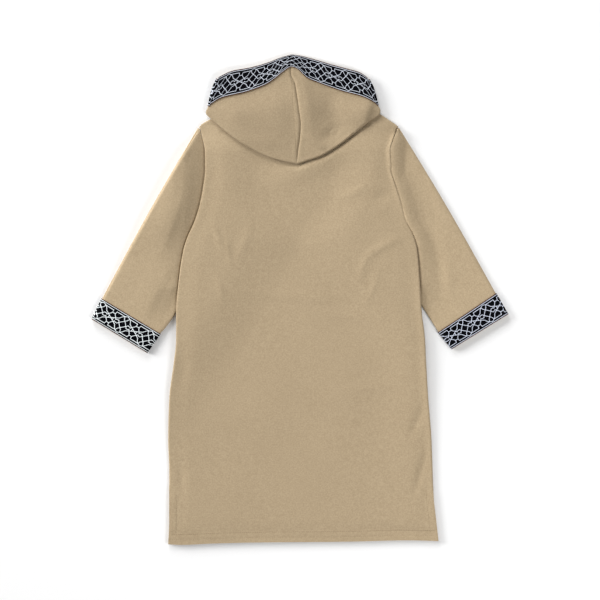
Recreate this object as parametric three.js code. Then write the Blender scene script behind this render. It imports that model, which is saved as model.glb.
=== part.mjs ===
// A child's hooded robe of tan fleece, laid flat on its front, so its back and the folded hood face up.
// Millimetres, +Z up, +Y towards the neck. The origin is under the middle of the robe.
import * as THREE from "three";

// ---------------------------------------------------------------- driving sizes
const CLOTH = 2.0; // wall of the fleece
const TRIM = 0.9; // wall of the woven trim
const SEAM = 0.3; // gap between sewn pieces
const AIR = 0.8; // air between two layers that lie on each other
const TRIM_BED = SEAM + TRIM; // room under a piece whose trim faces the ground
const LAYER_RISE = CLOTH + AIR; // from the middle of one layer to the middle of the next
const FOLD_RADIUS = LAYER_RISE / 2; // where a sleeve turns round its own edge
const EDGE_RADIUS = FOLD_RADIUS - SEAM / 2; // where a panel turns towards its side seam
const HOOD_FOLD_RADIUS = 2.5; // the softer fold where the hood turns under itself
const SLEEVE_STACK = 2 * CLOTH + AIR; // a flat sleeve's height
const SLIT_TOP = -300; // the side seams are open from here down to the hem
const HOOD_CROWN = 7; // how far the hood's middle stands up
const HALF_SEAM = SEAM / 2;
const HEAD_GAP = 0.5; // between the body's edge and the head of a sleeve

const FLEECE = { color: 0xb9a47f, roughness: 0.95, metalness: 0 };
const WOVEN = { color: 0x1b2233, roughness: 0.7, metalness: 0 };

// ---------------------------------------------------------------- outlines
// The body's left and right edges, from hem to shoulder.
const BODY_EDGES = [
  { y: -377, left: -204.5, right: 214.8 },
  { y: -341, left: -203, right: 210.8 },
  { y: -310, left: -203, right: 206.2 },
  { y: -264, left: -203, right: 204.6 },
  { y: -217, left: -204.6, right: 203 },
  { y: -155, left: -203, right: 198.4 },
  { y: -93, left: -195.3, right: 195.3 },
  { y: -62, left: -192.2, right: 193.8 },
  { y: -20, left: -192, right: 188.8 },
  { y: 30, left: -188, right: 185.8 },
  { y: 76, left: -181, right: 181.8 },
  { y: 94, left: -175.5, right: 177.2 },
  { y: 122, left: -163, right: 164.6 },
  { y: 148, left: -155, right: 157.3 },
  { y: 175, left: -150, right: 149 },
  { y: 202, left: -147, right: 141.1 },
  { y: 229, left: -147.5, right: 139.2 },
  { y: 250, left: -152, right: 145 },
  { y: 268, left: -156.6, right: 152.4 },
];
const HEM = [
  { x: -205, y: -379.5 },
  { x: -185, y: -380.5 },
  { x: -136, y: -378.4 },
  { x: -70, y: -376.8 },
  { x: 78, y: -375.4 },
  { x: 166, y: -373.4 },
  { x: 215, y: -374.5 },
];
// The shoulders and the neckline, from left to right. The front is cut lower than the back.
const BODY_TOP = [
  { x: -156.6, back: 269.7, front: 269.7 },
  { x: -148, back: 275.5, front: 275.5 },
  { x: -139.5, back: 280, front: 280 },
  { x: -122, back: 287, front: 287 },
  { x: -98, back: 297, front: 297 },
  { x: -80, back: 304.6, front: 304.6 },
  { x: -65, back: 311, front: 311 },
  { x: -58, back: 308, front: 285 },
  { x: -45, back: 304.8, front: 264 },
  { x: -25, back: 302.6, front: 251 },
  { x: -3, back: 302, front: 247.5 },
  { x: 19, back: 302.6, front: 251 },
  { x: 39, back: 304.8, front: 264 },
  { x: 52, back: 308, front: 285 },
  { x: 59, back: 311, front: 311 },
  { x: 74, back: 305.7, front: 305.7 },
  { x: 92, back: 299.3, front: 299.3 },
  { x: 110, back: 292.9, front: 292.9 },
  { x: 125, back: 287.4, front: 287.4 },
  { x: 136, back: 280.5, front: 280.5 },
  { x: 145, back: 274.5, front: 274.5 },
  { x: 152.4, back: 269.7, front: 269.7 },
];
const NECK = { left: -65, right: 59, middle: -3 };

// The hood's centre seam, from the peak of the face edge down to the tip.
const SPINE = [
  { y: 380.2, x: -12.4 },
  { y: 361, x: -15 },
  { y: 348, x: -14 },
  { y: 336, x: -8.5 },
  { y: 313, x: -4.5 },
  { y: 290, x: -1.4 },
  { y: 273, x: 0.8 },
  { y: 253, x: -0.3 },
  { y: 230, x: -3.4 },
  { y: 216, x: -4.5 },
  { y: 205, x: -4.5 },
];
const PEAK = [-12.4, 380.2];
const TIP = [-4.5, 209.6];

// What differs between the two sides. Each outline is a smooth curve through its points.
const SIDES = {
  left: {
    sign: -1,
    sleeve: {
      shoulder: [-157.9, 267.2],
      underarm: [-117, 102.6],
      inner: [[-117, 102.6], [-193.5, -22], [-217, -52.5]],
      bandTop: [-307.2, 1.6],
      cuffOuter: [-322.6, -30.5],
      cuffInner: [-237.8, -82.2],
    },
    face: [PEAK, [-30, 375.4], [-53, 366.6], [-79, 359.6], [-103, 355.3], [-118, 349.2], [-129, 342.7]],
    bandInner: [[-15, 361], [-28, 351.4], [-50.8, 334], [-83.5, 321.5], [-121.5, 312.3], [-142.3, 299.8]],
    fold: [TIP, [-45.9, 219.8], [-87.4, 240.6], [-116.6, 261.3], [-128, 271.3]],
    corner: [[-142.3, 299.8], [-146, 289.5], [-139.3, 281.2], [-128, 271.3]],
    wrap: [[-129, 342.7], [-136, 326.4], [-142.3, 299.8]],
    lip: { neck: [-70, 319], face: [-42, 332], faceMiddle: [-88, 331] },
    throat: [
      { seam: [-61, 316], face: [-38, 322] },
      { seam: [-57.2, 285.2], face: [-28, 300] },
      { seam: [-44.4, 264.5], face: [-18, 279] },
      { seam: [-24.8, 251.7], face: [-9.5, 260] },
      { seam: [-3.4, 248.2], face: [-3.4, 250.6] },
    ],
  },
  right: {
    sign: 1,
    sleeve: {
      shoulder: [153.1, 267.5],
      underarm: [117, 102.6],
      inner: [[117, 102.6], [190.5, -12], [214.8, -50.1]],
      bandTop: [303.8, 9.6],
      cuffOuter: [322.6, -22.8],
      cuffInner: [236.2, -76.3],
    },
    face: [PEAK, [6.2, 377], [27.9, 370.9], [49.6, 364.4], [71.3, 358.5], [93, 352], [107.4, 341.6]],
    bandInner: [[-15, 361], [-3.6, 356.8], [11.6, 342.7], [33.5, 334], [66, 322.6], [98.7, 313.4], [121, 301]],
    fold: [TIP, [12.2, 215.8], [32.9, 223], [62, 240.6], [89, 261.3], [109.7, 277.9]],
    corner: [[121, 301], [124.6, 294], [122.5, 286], [109.7, 277.9]],
    wrap: [[107.4, 341.6], [114.5, 326], [121, 301]],
    lip: { neck: [64, 319], face: [36, 332], faceMiddle: [76, 331] },
    throat: [
      { seam: [55, 316], face: [32, 322] },
      { seam: [51.2, 285.2], face: [22, 300] },
      { seam: [38.4, 264.5], face: [12, 279] },
      { seam: [18.8, 251.7], face: [3.5, 260] },
      { seam: [-2.6, 248.2], face: [-2.6, 250.6] },
    ],
  },
};

// ---------------------------------------------------------------- small helpers
const UP = new THREE.Vector3(0, 0, 1);
const DOWN = new THREE.Vector3(0, 0, -1);
const { lerp, smoothstep } = THREE.MathUtils;

function spread(count) {
  return Array.from({ length: count + 1 }, (_, step) => step / count);
}

function lookUp(table, key, value, at) {
  const last = table.length - 1;
  const rising = table[last][key] > table[0][key];
  let row = 0;
  while (row < last - 1 && (rising ? at > table[row + 1][key] : at < table[row + 1][key])) {
    row += 1;
  }
  const share = (at - table[row][key]) / (table[row + 1][key] - table[row][key]);
  return lerp(table[row][value], table[row + 1][value], THREE.MathUtils.clamp(share, 0, 1));
}

function curveThrough(points) {
  return new THREE.SplineCurve(points.map(([x, y]) => new THREE.Vector2(x, y)));
}

function along(points, count) {
  const curve = curveThrough(points);
  return spread(count).map((share) => curve.getPointAt(share));
}

// ---------------------------------------------------------------- cloth
// The middle surface of a piece of cloth: points shared between grids, and faces that carry a tag.
class Surface {
  constructor() {
    this.points = [];
    this.outward = [];
    this.faces = [];
    this.known = new Map();
  }

  indexOf(spot) {
    const key = [spot.x, spot.y, spot.z].map((value) => Math.round(value * 100)).join(" ");
    if (!this.known.has(key)) {
      this.known.set(key, this.points.length);
      this.points.push(new THREE.Vector3(spot.x, spot.y, spot.z));
      this.outward.push(null);
    }
    const index = this.known.get(key);
    if (spot.outward) {
      this.outward[index] = spot.outward;
    }
    return index;
  }

  // Adds a grid of spots. outsideAt gives the garment's outer side near a face's centre.
  addGrid(grid, tag, outsideAt) {
    const ids = grid.map((row) => row.map((spot) => this.indexOf(spot)));
    const made = [];
    let agreement = 0;
    for (let row = 0; row + 1 < ids.length; row += 1) {
      for (let column = 0; column + 1 < ids[row].length; column += 1) {
        const loop = [ids[row][column], ids[row][column + 1], ids[row + 1][column + 1], ids[row + 1][column]];
        const corners = [...new Set(loop)];
        if (corners.length > 2) {
          made.push(corners);
          const centre = new THREE.Vector3();
          corners.forEach((id) => centre.addScaledVector(this.points[id], 1 / corners.length));
          agreement += this.areaVector(corners).dot(outsideAt(centre));
        }
      }
    }
    made.forEach(([first, ...others]) => {
      this.faces.push({ corners: [first, ...(agreement < 0 ? others.reverse() : others)], tag });
    });
  }

  areaVector(corners) {
    const total = new THREE.Vector3();
    const first = this.points[corners[0]];
    for (let step = 1; step + 1 < corners.length; step += 1) {
      const one = this.points[corners[step]].clone().sub(first);
      const two = this.points[corners[step + 1]].clone().sub(first);
      total.add(one.cross(two).multiplyScalar(0.5));
    }
    return total;
  }

  directions(seamTest) {
    const sums = this.points.map(() => new THREE.Vector3());
    this.faces.forEach(({ corners }) => {
      const area = this.areaVector(corners);
      corners.forEach((id) => sums[id].add(area));
    });
    return sums.map((sum, id) => {
      const direction = (this.outward[id] ?? sum).clone();
      if (seamTest(this.points[id])) {
        direction.x = 0;
      }
      return direction.normalize();
    });
  }

  // A closed wall between two distances from the middle surface, over the faces that carry a tag.
  wall(from, to, { tags = null, seamTest = () => false } = {}) {
    const directions = this.directions(seamTest);
    const faces = this.faces.filter(({ tag }) => !tags || tags.includes(tag));
    const used = new Map();
    const positions = [];
    const vertex = (id) => {
      if (!used.has(id)) {
        used.set(id, positions.length / 3);
        [to, from].forEach((distance) => {
          const place = this.points[id].clone().addScaledVector(directions[id], distance);
          positions.push(place.x, place.y, place.z);
        });
      }
      return used.get(id);
    };
    const triangles = [];
    const borders = new Map();
    faces.forEach(({ corners }) => {
      const outer = corners.map((id) => vertex(id));
      for (let step = 1; step + 1 < outer.length; step += 1) {
        triangles.push(outer[0], outer[step], outer[step + 1]);
        triangles.push(outer[0] + 1, outer[step + 1] + 1, outer[step] + 1);
      }
      outer.forEach((start, step) => {
        const end = outer[(step + 1) % outer.length];
        if (borders.has(`${end} ${start}`)) {
          borders.delete(`${end} ${start}`);
        } else {
          borders.set(`${start} ${end}`, [start, end]);
        }
      });
    });
    borders.forEach(([start, end]) => {
      triangles.push(start, start + 1, end, end, start + 1, end + 1);
    });
    const geometry = new THREE.BufferGeometry();
    geometry.setAttribute("position", new THREE.Float32BufferAttribute(positions, 3));
    geometry.setIndex(triangles);
    return geometry;
  }
}

function mesh(name, geometry, look) {
  geometry.computeVertexNormals();
  const made = new THREE.Mesh(geometry, new THREE.MeshStandardMaterial({ ...look, side: THREE.DoubleSide }));
  made.name = name;
  return made;
}

// ---------------------------------------------------------------- heights
// The sleeves, swung down about the shoulders, run under the body. The body rises over them.
function sleeveLift(x, y) {
  return Object.values(SIDES).reduce((highest, { sign, sleeve }) => {
    const [underarmX, underarmY] = sleeve.underarm;
    const [shoulderX, shoulderY] = sleeve.shoulder;
    const [exitX, exitY] = sleeve.inner[1];
    const capLength = Math.hypot(underarmX - shoulderX, underarmY - shoulderY);
    const innerLength = Math.hypot(exitX - underarmX, exitY - underarmY);
    const [dx, dy] = [x - underarmX, y - underarmY];
    const inwards = sign * (dx * (underarmY - shoulderY) - dy * (underarmX - shoulderX));
    const below = sign * (dx * (exitY - underarmY) - dy * (exitX - underarmX));
    const away = Math.max(inwards / capLength, below / innerLength);
    const high = smoothstep(y, 100, 170);
    const slope = smoothstep(away, lerp(32, 18, high), lerp(78, 50, high));
    const lift = (SLEEVE_STACK + SEAM) * (1 - slope);
    return Math.max(highest, lift * (1 - smoothstep(y, 230, 264)));
  }, 0);
}

// The hood's front ends, with their trim face down, lie under the neck and raise it.
function neckLift(x, y) {
  const away = Math.hypot((x - NECK.middle) / 1.15, Math.max(0, 245 - y));
  return TRIM_BED * (1 - smoothstep(away, 72, 140));
}

function bodyLift(x, y) {
  return sleeveLift(x, y) + neckLift(x, y);
}

// Middle height of the hood's hidden layer, which lies on the back panel.
function hiddenHoodHeight(x, y) {
  return bodyLift(x, y) + 2 * LAYER_RISE + CLOTH / 2;
}

// ---------------------------------------------------------------- body panels
const CURL_TURNS = [90, 45, 0];
const PANEL_COLUMNS = BODY_TOP.map(({ x }) => (x - BODY_TOP[0].x) / (BODY_TOP.at(-1).x - BODY_TOP[0].x));

function panelSteps(shares) {
  const turned = (share, turns) => turns.map((turn) => ({ share, turn }));
  const middle = shares.slice(1, -1).map((share) => ({ share, turn: null }));
  return [...turned(0, CURL_TURNS), ...middle, ...turned(1, [...CURL_TURNS].reverse())];
}

// How a panel's edge turns towards its seam: the way in from the outline, the drop and the angle.
function edgeTurn(step, weight) {
  if (step.turn === null) {
    return { inset: 0, drop: 0, angle: 0 };
  }
  const angle = THREE.MathUtils.degToRad(step.turn);
  const reach = CLOTH / 2 + EDGE_RADIUS;
  const flat = reach * (1 - step.turn / 90);
  const curled = reach - EDGE_RADIUS * Math.sin(angle);
  return {
    inset: lerp(flat, curled, weight),
    drop: weight * EDGE_RADIUS * (1 - Math.cos(angle)),
    angle: weight * angle,
  };
}

function panelSpot(which, across, up) {
  const edgeY = lerp(BODY_EDGES[0].y, BODY_EDGES.at(-1).y, up.share);
  const left = lookUp(BODY_EDGES, "y", "left", edgeY);
  const right = lookUp(BODY_EDGES, "y", "right", edgeY);
  const topX = lerp(BODY_TOP[0].x, BODY_TOP.at(-1).x, across.share);
  const plainX = lerp(left, right, across.share);
  const deeper = lookUp(BODY_TOP, "x", "back", topX) - lookUp(BODY_TOP, "x", which, topX);
  const backY = lerp(lookUp(HEM, "x", "y", plainX), lookUp(BODY_TOP, "x", "back", topX), up.share);
  const y = backY - deeper * smoothstep(up.share, 0.8, 1);
  const sideWay = across.share < 0.5 ? 1 : -1;
  const side = edgeTurn(across, smoothstep(y, SLIT_TOP, SLIT_TOP + 15));
  const inNeck = topX > NECK.left - 1 && topX < NECK.right + 1;
  const top = edgeTurn({ turn: up.share === 1 ? up.turn : null }, inNeck ? 0 : 1);
  const place = { x: plainX + sideWay * side.inset, y: y - top.inset };
  const back = which === "back";
  const drop = Math.max(side.drop, top.drop);
  const middle = CLOTH / 2 + (back ? LAYER_RISE - drop : drop);
  const outward = new THREE.Vector3(-sideWay * Math.sin(side.angle), Math.sin(top.angle), 0);
  const rise = Math.min(Math.cos(side.angle), Math.cos(top.angle));
  outward.z = back ? rise : -rise;
  const turned = side.angle > 0 || top.angle > 0;
  return {
    ...place,
    z: bodyLift(place.x, place.y) + middle,
    outward: turned ? outward.normalize() : null,
  };
}

function bodyPanel(which) {
  const surface = new Surface();
  const columns = panelSteps(PANEL_COLUMNS);
  const heights = BODY_EDGES.map(({ y }) => (y - BODY_EDGES[0].y) / (BODY_EDGES.at(-1).y - BODY_EDGES[0].y));
  const rows = [
    ...heights.slice(0, -1).map((share) => ({ share, turn: null })),
    ...[...CURL_TURNS].reverse().map((turn) => ({ share: 1, turn })),
  ];
  const grid = rows.map((up) => columns.map((across) => panelSpot(which, across, up)));
  surface.addGrid(grid, "panel", () => (which === "back" ? UP : DOWN));
  return mesh(which, surface.wall(-CLOTH / 2, CLOTH / 2), FLEECE);
}

// ---------------------------------------------------------------- sleeves and cuff trim
const SLEEVE_ROWS = [0, 0.1, 0.24, 0.4, 0.56, 0.72, 0.86, 1];
const ACROSS_SLEEVE = spread(5);
const FOLD_TURNS = [45, 0, -45];

// The sleeve head follows the body's edge from the shoulder, then runs straight under the body.
function headBend({ sign, sleeve }, plan) {
  const [shoulderX, shoulderY] = sleeve.shoulder;
  const [underarmX, underarmY] = sleeve.underarm;
  const straight = lerp(underarmX, shoulderX, (plan.y - underarmY) / (shoulderY - underarmY));
  const edge = lookUp(BODY_EDGES, "y", sign < 0 ? "left" : "right", plan.y) + sign * HEAD_GAP;
  return sign * Math.min(0, sign * (edge - straight));
}

function sleeveSurface(side) {
  const { sleeve } = side;
  const surface = new Surface();
  const outerLine = along([sleeve.shoulder, sleeve.bandTop], 1);
  const innerLine = curveThrough(sleeve.inner);
  const ring = (outer, inner, lift, bendShare) => {
    const across = inner.clone().sub(outer).normalize();
    const inset = CLOTH / 2 + FOLD_RADIUS;
    const from = outer.clone().addScaledVector(across, inset);
    const to = inner.clone().addScaledVector(across, -inset);
    const middle = lift + SLEEVE_STACK / 2;
    const spot = (plan, rise) => ({ x: plan.x, y: plan.y, z: middle + rise });
    const flat = (share, rise) => {
      const plan = from.clone().lerp(to, share);
      plan.x += bendShare * headBend(side, plan);
      return spot(plan, rise);
    };
    const turn = (end, way) => (angle) => {
      const radians = THREE.MathUtils.degToRad(angle);
      const plan = end.clone().addScaledVector(across, way * FOLD_RADIUS * Math.cos(radians));
      return spot(plan, FOLD_RADIUS * Math.sin(radians));
    };
    const loop = [
      ...ACROSS_SLEEVE.map((share) => flat(share, FOLD_RADIUS)),
      ...FOLD_TURNS.map(turn(to, 1)),
      ...[...ACROSS_SLEEVE].reverse().map((share) => flat(share, -FOLD_RADIUS)),
      ...[...FOLD_TURNS].reverse().map(turn(from, -1)),
    ];
    return [...loop, loop[0]];
  };
  const arm = SLEEVE_ROWS.map((share) => {
    const outer = outerLine[0].clone().lerp(outerLine[1], share);
    const bendShare = (1 - share) ** 6;
    return ring(outer, innerLine.getPointAt(share), TRIM_BED * smoothstep(share, 0.8, 1), bendShare);
  });
  const bandTop = arm.at(-1);
  const [cuffOuter, cuffInner] = along([sleeve.cuffOuter, sleeve.cuffInner], 1);
  const cuffEnd = ring(cuffOuter, cuffInner, TRIM_BED, 0);
  const outside = (centre) => new THREE.Vector3(0, 0, centre.z - SLEEVE_STACK / 2 - TRIM_BED / 2);
  surface.addGrid(arm, "arm", outside);
  surface.addGrid([bandTop, cuffEnd], "cuff", outside);
  return surface;
}

function sleeveMeshes(name, side) {
  const surface = sleeveSurface(side);
  const trimFrom = CLOTH / 2 + SEAM;
  return [
    mesh(`sleeve_${name}`, surface.wall(-CLOTH / 2, CLOTH / 2), FLEECE),
    mesh(`cuff_band_${name}`, surface.wall(trimFrom, trimFrom + TRIM, { tags: ["cuff"] }), WOVEN),
  ];
}

// ---------------------------------------------------------------- hood
const HOOD_COLUMNS = 8; // from the centre seam to the side
const HOOD_ROWS = 5; // from the trim's inner edge to the fold
const NECK_COLUMNS = 3; // of the hood's columns, those that are sewn to the back neckline
const RIM_TURNS = [90, 45, 0, -45, -90];

function spineX(y, sign) {
  return lookUp(SPINE, "y", "x", y) + sign * HALF_SEAM;
}

// The silhouette where the hood turns under itself, from the tip round the corner to the face edge.
function hoodRim(side) {
  const fold = along(side.fold, HOOD_COLUMNS);
  const corner = along(side.corner, HOOD_ROWS).reverse();
  const wrap = along(side.wrap, 2).reverse();
  const outline = [...fold, ...corner.slice(1), ...wrap.slice(1)];
  return outline.map((place, index) => {
    const before = outline[Math.max(0, index - 1)];
    const after = outline[Math.min(outline.length - 1, index + 1)];
    const tangent = after.clone().sub(before).normalize();
    const out = new THREE.Vector2(-side.sign * -tangent.y, side.sign * -tangent.x);
    if (index === 0) {
      out.set(0, -1);
    }
    const plan = place.clone().addScaledVector(out, -(CLOTH / 2 + HOOD_FOLD_RADIUS));
    if (index === 0) {
      plan.x += side.sign * HALF_SEAM;
    }
    const past = Math.max(0, index - HOOD_COLUMNS) / (outline.length - 1 - HOOD_COLUMNS);
    const low = hiddenHoodHeight(plan.x, plan.y) - 1.6 * past;
    return RIM_TURNS.map((turn) => {
      const radians = THREE.MathUtils.degToRad(turn);
      const reach = HOOD_FOLD_RADIUS * Math.cos(radians);
      return {
        x: plan.x + out.x * reach,
        y: plan.y + out.y * reach,
        z: low + HOOD_FOLD_RADIUS * (1 + Math.sin(radians)),
      };
    });
  });
}

function hoodSurface(side) {
  const { sign } = side;
  const surface = new Surface();
  const rim = hoodRim(side);
  const topOf = (index) => rim[index][0];
  const bottomOf = (index) => rim[index].at(-1);
  const lastRow = 2 + HOOD_ROWS;
  const sideIndex = (row) => HOOD_COLUMNS + (lastRow - row);

  // The layer that shows: face edge, middle and inner edge of the trim, then on to the fold.
  const face = along(side.face, HOOD_COLUMNS);
  const bandInner = along(side.bandInner, HOOD_COLUMNS);
  const fold = along(side.fold, HOOD_COLUMNS);
  const faceHeight = (share) => lerp(3, topOf(sideIndex(0)).z, smoothstep(share, 0, 1));
  const innerHeight = (share) => lerp(7.5, topOf(sideIndex(2)).z, share);
  const showing = [];
  for (let row = 0; row <= lastRow; row += 1) {
    showing.push(face.map((_, column) => {
      const share = column / HOOD_COLUMNS;
      if (column === HOOD_COLUMNS) {
        return topOf(sideIndex(row));
      }
      if (row === lastRow) {
        return topOf(column);
      }
      const down = Math.max(0, row - 2) / HOOD_ROWS;
      const plan = row < 2 ? face[column].clone().lerp(bandInner[column], row / 2)
        : bandInner[column].clone().lerp(fold[column], down);
      const edge = row < 2 ? lerp(faceHeight(share), innerHeight(share), row / 2)
        : lerp(innerHeight(share), topOf(column).z, down);
      const crown = HOOD_CROWN * Math.sin(Math.PI * Math.min(1, down + 0.12)) * (1 - share ** 1.6);
      if (column === 0) {
        plan.x = spineX(plan.y, sign);
      }
      return { x: plan.x, y: plan.y, z: edge + (row < 2 ? 0 : crown) };
    }));
  }
  surface.addGrid(showing.slice(0, 3), "band", () => UP);
  surface.addGrid(showing.slice(2), "hood", () => UP);

  // The turned edge, plain along the fold and the corner, with trim where the face edge wraps under.
  const aside = new THREE.Vector3(sign, -1, 0);
  surface.addGrid(rim.slice(0, sideIndex(2) + 1), "hood", () => aside);
  surface.addGrid(rim.slice(sideIndex(2)), "band", () => new THREE.Vector3(sign, 0, 0));

  // The hidden layer, from the fold back to the neckline and, past the neck point, to the lip.
  const neckPoint = sign < 0 ? NECK.left : NECK.right;
  const { lip } = side;
  const lipSeam = along([lip.neck, side.bandInner.at(-1)], HOOD_COLUMNS - NECK_COLUMNS - 1);
  const farSide = spread(HOOD_COLUMNS).map((share, column) => {
    if (column === HOOD_COLUMNS) {
      return bottomOf(sideIndex(2));
    }
    if (column > NECK_COLUMNS) {
      const plan = lipSeam[column - NECK_COLUMNS - 1];
      return { x: plan.x, y: plan.y, z: hiddenHoodHeight(plan.x, plan.y) - 0.6 };
    }
    const x = column === 0 ? spineX(302, sign) : lerp(NECK.middle, neckPoint, column / NECK_COLUMNS);
    const y = lookUp(BODY_TOP, "x", "back", x);
    return { x, y, z: hiddenHoodHeight(x, y) };
  });
  const hidden = spread(HOOD_ROWS).map((share, row) => farSide.map((far, column) => {
    if (column === HOOD_COLUMNS) {
      return bottomOf(sideIndex(2 + row));
    }
    const near = bottomOf(column);
    if (row === 0 || row === HOOD_ROWS) {
      return row === 0 ? far : near;
    }
    const y = lerp(far.y, near.y, share);
    const x = column === 0 ? spineX(y, sign) : lerp(far.x, near.x, share);
    const aboveBack = ({ x: atX, y: atY, z }) => z - hiddenHoodHeight(atX, atY);
    return { x, y, z: hiddenHoodHeight(x, y) + lerp(aboveBack(far), aboveBack(near), share) };
  }));
  surface.addGrid(hidden, "hood", () => DOWN);

  // The lip beyond the shoulder line, under the trim's wrapped stretch.
  const lipColumns = HOOD_COLUMNS - NECK_COLUMNS - 1;
  const lipFace = along([lip.face, lip.faceMiddle, side.face.at(-1)], lipColumns);
  const lipEnd = bottomOf(sideIndex(0));
  const lipRows = [0, 0.5, 1].map((share, row) => spread(lipColumns).map((length, column) => {
    if (column === lipColumns) {
      return bottomOf(sideIndex(2 - row));
    }
    const near = farSide[NECK_COLUMNS + 1 + column];
    const far = lipFace[column];
    if (row === 0) {
      return near;
    }
    const z = lerp(near.z, lerp(3.2, lipEnd.z, length), share);
    return { x: lerp(near.x, far.x, share), y: lerp(near.y, far.y, share), z };
  }));
  surface.addGrid(lipRows, "band", () => DOWN);

  // The hood's front end, in the neck hole under the back panel, down to the throat.
  const throatHeight = CLOTH / 2 + TRIM_BED;
  const throat = [lipRows.map((row) => row[0]), ...side.throat.map(({ seam, face: edge }) => (
    [0, 0.5, 1].map((share) => ({
      x: lerp(seam[0], edge[0], share),
      y: lerp(seam[1], edge[1], share),
      z: throatHeight,
    }))
  ))];
  surface.addGrid(throat, "band", () => DOWN);
  return surface;
}

function hoodMeshes(name, side) {
  const surface = hoodSurface(side);
  const seamTest = ({ x, y }) => Math.abs(x - spineX(y, side.sign)) < 0.02;
  const trimFrom = CLOTH / 2 + SEAM;
  return [
    mesh(`hood_${name}`, surface.wall(-CLOTH / 2, CLOTH / 2, { seamTest }), FLEECE),
    mesh(`hood_band_${name}`, surface.wall(trimFrom, trimFrom + TRIM, { tags: ["band"], seamTest }), WOVEN),
  ];
}

// ---------------------------------------------------------------- the robe
const robe = new THREE.Group();
robe.add(bodyPanel("front"), bodyPanel("back"));
Object.entries(SIDES).forEach(([name, side]) => {
  robe.add(...sleeveMeshes(name, side), ...hoodMeshes(name, side));
});

export default robe;
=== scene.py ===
"""A child's hooded robe in tan fleece with woven trim.

It is laid flat on its front, with the hood folded over the back.
All sizes in the tables are millimetres, and the meshes are made in metres.
"""

import math

import bpy
import numpy as np
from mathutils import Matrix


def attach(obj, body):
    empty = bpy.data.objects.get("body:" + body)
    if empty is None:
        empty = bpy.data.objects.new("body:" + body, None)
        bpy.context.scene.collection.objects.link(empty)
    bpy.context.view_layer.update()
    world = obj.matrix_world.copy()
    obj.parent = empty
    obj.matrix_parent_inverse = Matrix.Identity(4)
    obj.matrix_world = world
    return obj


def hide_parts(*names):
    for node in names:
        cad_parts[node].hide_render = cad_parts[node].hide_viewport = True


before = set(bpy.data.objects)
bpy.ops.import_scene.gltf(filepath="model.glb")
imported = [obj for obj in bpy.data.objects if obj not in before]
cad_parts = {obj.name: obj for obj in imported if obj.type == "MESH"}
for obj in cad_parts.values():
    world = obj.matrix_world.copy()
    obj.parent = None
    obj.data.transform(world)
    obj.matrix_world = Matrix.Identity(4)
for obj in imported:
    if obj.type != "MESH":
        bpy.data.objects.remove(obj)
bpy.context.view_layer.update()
bpy.ops.object.select_all(action="DESELECT")

# ---------------- driving sizes
METRE = 0.001
CLOTH = 2.0
HALF_CLOTH = CLOTH / 2
TRIM = 0.9
TRIM_WIDTH = 35.0
SEAM = 0.3
HALF_SEAM = SEAM / 2
AIR = 0.8
TRIM_BED = SEAM + TRIM
LAYER_RISE = CLOTH + AIR
FOLD_RADIUS = LAYER_RISE / 2
EDGE_RADIUS = FOLD_RADIUS - HALF_SEAM
SLEEVE_STACK = 2 * CLOTH + AIR
HEAD_GAP = 0.25
HOOD_FOLD_RADIUS = 1.25
HOOD_CROWN = 3.6
# The turned edges: how far the hem and the slits go in, how proud they stand, and their stitches.
HEM_DEPTH = 16.0
HEM_ROWS = {"hem_stitches_low": 8, "hem_stitches_high": HEM_DEPTH}
HEM_ROW_Y = -372.0
HEM_ROW_INSET = 6
SLIT_TOP = -300
SLIT_DEPTH = 11.0
SLIT_ROW_TOP = SLIT_TOP - 4
SLIT_ROW_LOW = -362
EDGE_STAND = 0.45
EDGE_STEP = 2.4
STITCH_SINK = 0.5
STITCH_PITCH = 3.3
STITCH_LENGTH = 2.6
STITCH_THICKNESS = 0.7
STITCH_STAND = 0.1

# ---------------- outlines
# The body's left and right edges, from hem to shoulder: y, left, right.
BODY_EDGES = np.array([
    (-377, -204.5, 214.8),
    (-341, -203, 210.8),
    (-310, -203, 207.4),
    (-264, -203, 205.8),
    (-217, -204.6, 204),
    (-155, -203, 199),
    (-93, -195.3, 195.3),
    (-62, -192.2, 193.8),
    (-20, -192, 188.8),
    (30, -188, 185.8),
    (76, -181, 181.8),
    (94, -175.5, 177.2),
    (122, -163, 164.6),
    (148, -155, 157.3),
    (175, -150, 149),
    (202, -147, 141.1),
    (229, -147.5, 139.2),
    (250, -152, 145),
    (268, -156.6, 152.4),
])
# The hem: x, y.
HEM = np.array([
    (-205, -379.5),
    (-185, -380.5),
    (-136, -378.4),
    (-70, -376.8),
    (78, -375.4),
    (166, -373.4),
    (215, -374.5),
])
# The shoulders and the neckline: x, back y, front y.
BODY_TOP = np.array([
    (-156.6, 269.7, 269.7),
    (-148, 275.5, 275.5),
    (-139.5, 280, 280),
    (-122, 287, 287),
    (-98, 297, 297),
    (-80, 304.6, 304.6),
    (-65, 311, 311),
    (-58, 308, 285),
    (-45, 304.8, 264),
    (-25, 302.6, 251),
    (-3, 302, 247.5),
    (19, 302.6, 251),
    (39, 304.8, 264),
    (52, 308, 285),
    (59, 311, 311),
    (74, 305.7, 305.7),
    (92, 299.3, 299.3),
    (110, 292.9, 292.9),
    (125, 287.4, 287.4),
    (136, 280.5, 280.5),
    (145, 274.5, 274.5),
    (152.4, 269.7, 269.7),
])
NECK = {"left": -65, "right": 59, "middle": -3}

# The hood's centre seam, from the tip up to the peak of the face edge: y, x.
SPINE = np.array([
    (205, -4.5),
    (216, -4.5),
    (230, -3.4),
    (253, -0.3),
    (273, 0.8),
    (290, -1.4),
    (313, -4.5),
    (336, -8.5),
    (348, -14),
    (361, -15),
    (380.2, -12.4),
])
PEAK = (-12.4, 380.2)
TIP = (-4.5, 209.6)

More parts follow.
